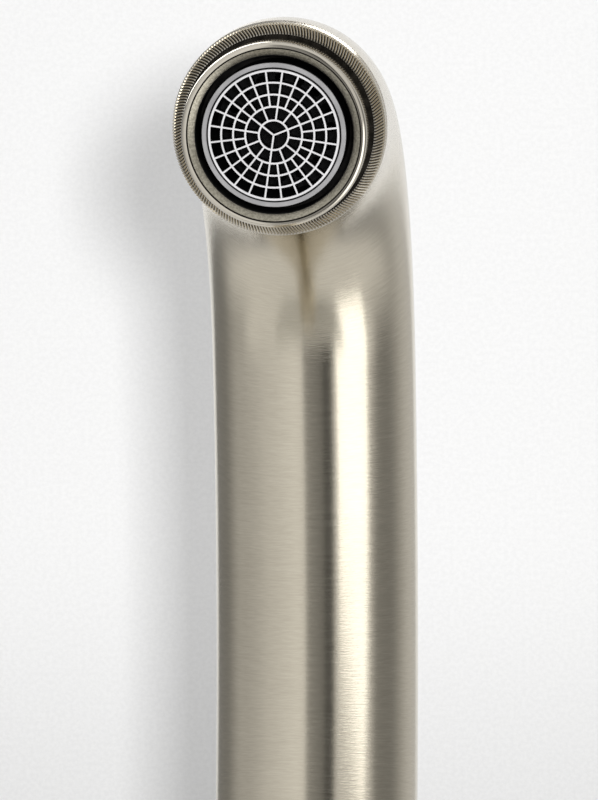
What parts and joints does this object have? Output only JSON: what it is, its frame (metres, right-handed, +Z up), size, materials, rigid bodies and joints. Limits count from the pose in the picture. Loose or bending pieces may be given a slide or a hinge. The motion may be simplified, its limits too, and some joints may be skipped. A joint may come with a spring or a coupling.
{
  "type": "kitchen mixer tap",
  "caption": "Single-lever deck-mounted kitchen mixer tap in brushed nickel, with an arched swivel spout, a knurled aerator and a ceramic cartridge.",
  "frame": {"origin": "on the body's axis at the surface of the worktop", "axes": "+Z up along the body's axis, the spout points to -Y at rest, +X to the right seen from the front"},
  "size_m": [0.057, 0.2625, 0.2648],
  "materials": {
    "brushed_nickel": "nickel plated, fine circumferential brushing",
    "nickel_body": "nickel plated, fine circumferential brushing on the head",
    "polished_nickel": "nickel plated, turned and polished",
    "brass": "machined",
    "steel": "plain",
    "black_rubber": "matt",
    "slide_plastic": "smooth",
    "cartridge_plastic": "moulded",
    "aerator_plastic": "moulded, light grey",
    "black_plastic": "moulded, black",
    "ceramic": "lapped",
    "indicator": "moulded, red and blue halves"
  },
  "bodies": {
    "body": {"mixer_body": "nickel_body", "lower_sleeve": "brushed_nickel", "base_ring": "brushed_nickel", "base_seal": "black_rubber", "fixing_stud": "steel", "clamp_gasket": "black_rubber", "clamp_plate": "steel", "fixing_nut": "steel", "lower_slide_ring": "slide_plastic", "upper_slide_ring": "slide_plastic", "lower_o_ring": "black_rubber", "upper_o_ring": "black_rubber", "cartridge_base": "cartridge_plastic", "cold_port_seal": "black_rubber", "hot_port_seal": "black_rubber", "outlet_port_seal": "black_rubber", "ceramic_fixed_disc": "ceramic", "cartridge_housing": "cartridge_plastic", "cartridge_nut": "brass", "dome_cover": "polished_nickel"},
    "spout": {"spout_collar": "brushed_nickel", "spout_tube": "brushed_nickel", "aerator_housing": "polished_nickel", "aerator_cage": "aerator_plastic", "aerator_jet_plate": "black_plastic", "aerator_strainer": "black_plastic", "aerator_washer": "black_rubber"},
    "turret": {"mixing_carrier": "cartridge_plastic", "pivot_pin": "steel"},
    "lever": {"lever_stem": "steel", "lever_handle": "brushed_nickel", "grub_screw": "steel", "indicator_plug": "indicator"},
    "slider": {"disc_carrier": "cartridge_plastic", "ceramic_moving_disc": "ceramic"}
  },
  "joints": [
    {"name": "spout_swivel", "type": "hinge", "parent": "body", "child": "spout", "pos_m": [0, 0, 0.0949], "axis": [0, 0, 1], "continuous": true},
    {"name": "mix_turn", "type": "hinge", "parent": "body", "child": "turret", "pos_m": [0, 0, 0.1477], "axis": [0, 0, 1], "range_deg": [-45, 45]},
    {"name": "lever_lift", "type": "hinge", "parent": "turret", "child": "lever", "pos_m": [0, 0, 0.1477], "axis": [-1, 0, 0], "range_deg": [0, 25]},
    {"name": "disc_slide", "type": "slide", "parent": "turret", "child": "slider", "axis": [0, -1, 0], "range_m": [0, 0.0039]}
  ],
  "couplings": [
    {"joint": "disc_slide", "follows": "lever_lift", "m_per_rad": 0.008717}
  ]
}
